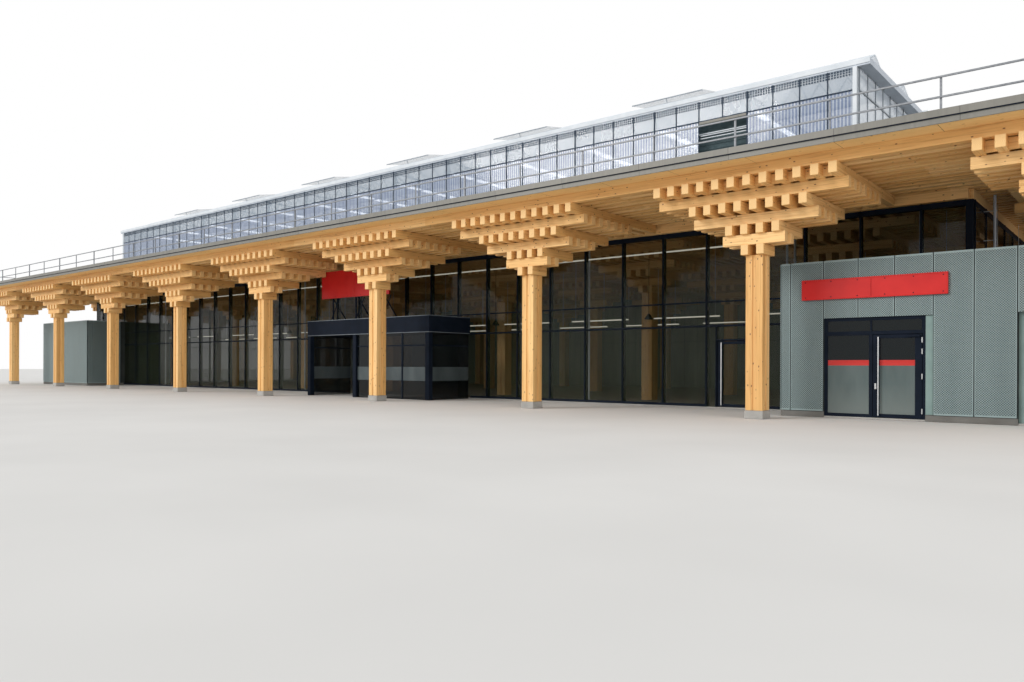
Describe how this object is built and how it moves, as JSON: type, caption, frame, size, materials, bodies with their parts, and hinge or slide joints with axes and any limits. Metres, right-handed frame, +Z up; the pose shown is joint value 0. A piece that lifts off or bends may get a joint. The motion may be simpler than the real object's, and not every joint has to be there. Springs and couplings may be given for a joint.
{
  "type": "supermarket building, scale model 1:2",
  "caption": "Single-storey market hall under a stacked-timber roof on grooved timber columns, with a glass greenhouse on top.",
  "frame": {"origin": "centre of the roof's outline at ground level", "axes": "+X along the front to the right, +Y from the front to the rear, +Z up"},
  "size_m": [38.2, 20.2, 6.6908],
  "materials": {
    "concrete": "matt cast",
    "timber": "oiled softwood",
    "roof_board": "matt board",
    "fascia_metal": "satin",
    "galvanised": "galvanised",
    "dark_frame": "satin",
    "dark_glass": "clear tinted",
    "cladding": "perforated, satin",
    "door_paint": "satin",
    "steel": "brushed",
    "box_wall": "matt",
    "frosted_glass": "frosted",
    "sign_red": "satin",
    "white_metal": "satin",
    "clear_glass": "clear"
  },
  "bodies": {
    "root": {"box_back_walls": "box_wall", "box_front_walls": "box_wall", "box_roofs": "box_wall", "box_side_walls": "box_wall", "column_feet": "concrete", "cross_beams": "timber", "delivery_door": "door_paint", "floor_slab": "concrete", "front_cladding": "cladding", "front_mullions": "dark_frame", "front_panes": "dark_glass", "front_rails": "dark_frame", "guard_posts": "galvanised", "guard_rails": "galvanised", "header_beams": "timber", "house_end_glass": "clear_glass", "house_gutters": "white_metal", "house_long_glass": "clear_glass", "house_posts": "white_metal", "house_roofs": "clear_glass", "house_trim": "white_metal", "inner_columns": "timber", "long_beams": "timber", "outer_columns": "timber", "pickup_fixed_panes": "frosted_glass", "pickup_frame": "dark_frame", "porch_canopy": "dark_frame", "porch_panes": "dark_glass", "porch_posts": "dark_frame", "rear_wall": "cladding", "roof_deck": "roof_board", "roof_fascia": "fascia_metal", "roof_joists": "timber", "roof_vents": "clear_glass", "side_cladding": "cladding", "side_mullions": "dark_frame", "side_panes": "dark_glass", "sign_panels": "sign_red", "sign_struts": "dark_frame"},
    "pickup_door": {"pickup_leaf": "dark_frame", "pickup_glass": "dark_glass", "pickup_pull": "steel"},
    "exit_door": {"exit_leaf": "dark_frame", "exit_glass": "dark_glass", "exit_pull": "steel"}
  },
  "joints": [
    {"name": "pickup_hinge", "type": "hinge", "parent": "root", "child": "pickup_door", "pos_m": [15.626, -7.977, 0.7], "axis": [0, 0, 1], "range_deg": [0, 90]},
    {"name": "exit_hinge", "type": "hinge", "parent": "root", "child": "exit_door", "pos_m": [12.396, -6.582, 0.7], "axis": [0, 0, 1], "range_deg": [0, 90]}
  ]
}
